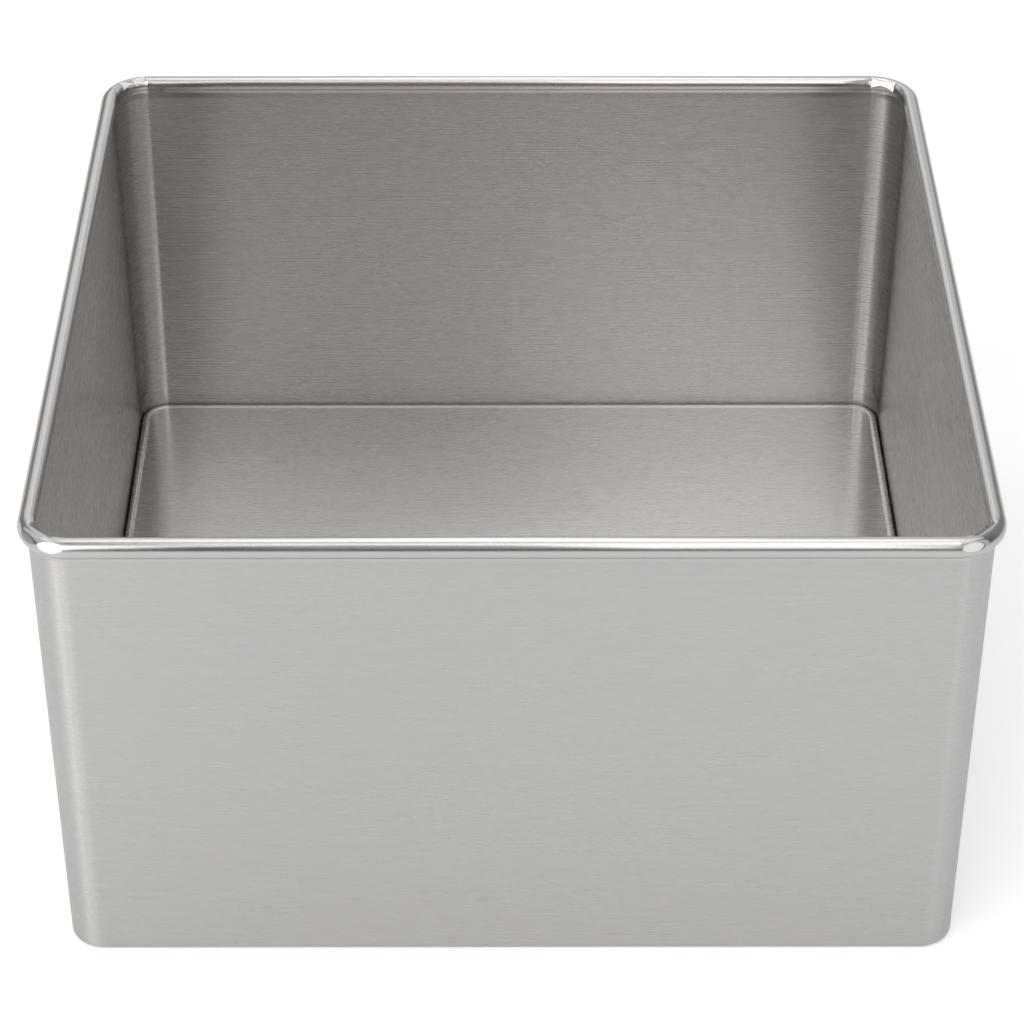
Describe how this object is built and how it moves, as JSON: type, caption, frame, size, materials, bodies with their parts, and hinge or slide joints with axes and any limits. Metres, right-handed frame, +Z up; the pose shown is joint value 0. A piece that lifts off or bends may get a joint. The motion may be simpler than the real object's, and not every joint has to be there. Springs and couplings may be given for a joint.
{
  "type": "square cake tin",
  "caption": "Deep square cake tin in brushed steel: a ring of straight walls with rounded corners, a rolled wired rim, a folded-in bottom ledge and a loose base that lifts out.",
  "frame": {"origin": "centre of the underside, on the surface that the tin stands on", "axes": "+Z up through the open top, X and Y square to the walls"},
  "size_m": [0.183, 0.183, 0.1016],
  "materials": {
    "brushed_wall_sheet": "fine brushing that runs level round the walls",
    "drawn_wire": "drawn, slightly dull",
    "brushed_base_sheet": "fine brushing that runs from side to side"
  },
  "bodies": {
    "tin": {"tin_body": "brushed_wall_sheet", "rim_wire": "drawn_wire"},
    "base": {"loose_base": "brushed_base_sheet"}
  },
  "joints": [
    {"name": "base_lift", "type": "slide", "parent": "tin", "child": "base", "axis": [0, 0, 1], "range_m": [0, 0.11]}
  ]
}
